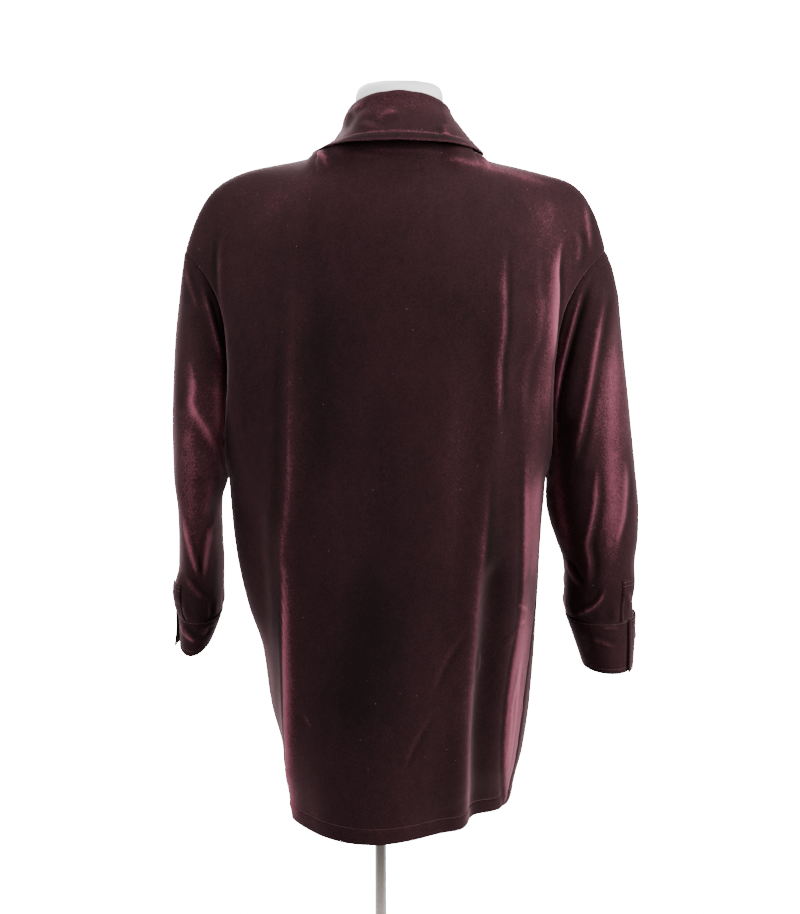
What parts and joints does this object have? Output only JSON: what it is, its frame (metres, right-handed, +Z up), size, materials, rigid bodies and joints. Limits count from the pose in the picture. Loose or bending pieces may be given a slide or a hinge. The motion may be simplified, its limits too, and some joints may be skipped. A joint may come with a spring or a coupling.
{
  "type": "smoking jacket on dress form",
  "caption": "Long loose velvet button-front jacket with turned-down collar and full cuffed sleeves, hung open at the hem on a limbless dress form on a pole and round plate.",
  "frame": {"origin": "centre of the base plate's underside, on the floor under the pole", "axes": "+Z up, the jacket's front faces -Y and its back +Y, the wearer's left is +X"},
  "size_m": [0.5871, 0.32, 1.5325],
  "materials": {
    "velvet": "dark burgundy cotton velvet, soft pile",
    "button": "dark horn look",
    "form_shell": "smooth pale grey-white",
    "chrome": "polished",
    "base_steel": "satin"
  },
  "bodies": {
    "root": {"back": "velvet", "front_left": "velvet", "front_right": "velvet", "front_band": "velvet", "sleeve_left": "velvet", "sleeve_right": "velvet", "placket_left": "velvet", "placket_right": "velvet", "cuff_left": "velvet", "cuff_right": "velvet", "collar_stand": "velvet", "collar_fall": "velvet", "front_button_1": "button", "front_button_2": "button", "front_button_3": "button", "front_button_4": "button", "front_button_5": "button", "front_button_6": "button", "front_button_7": "button", "cuff_button_left": "button", "cuff_button_right": "button", "form": "form_shell", "form_socket": "chrome", "pole": "chrome", "base_socket": "base_steel", "base_plate": "base_steel"}
  },
  "joints": []
}
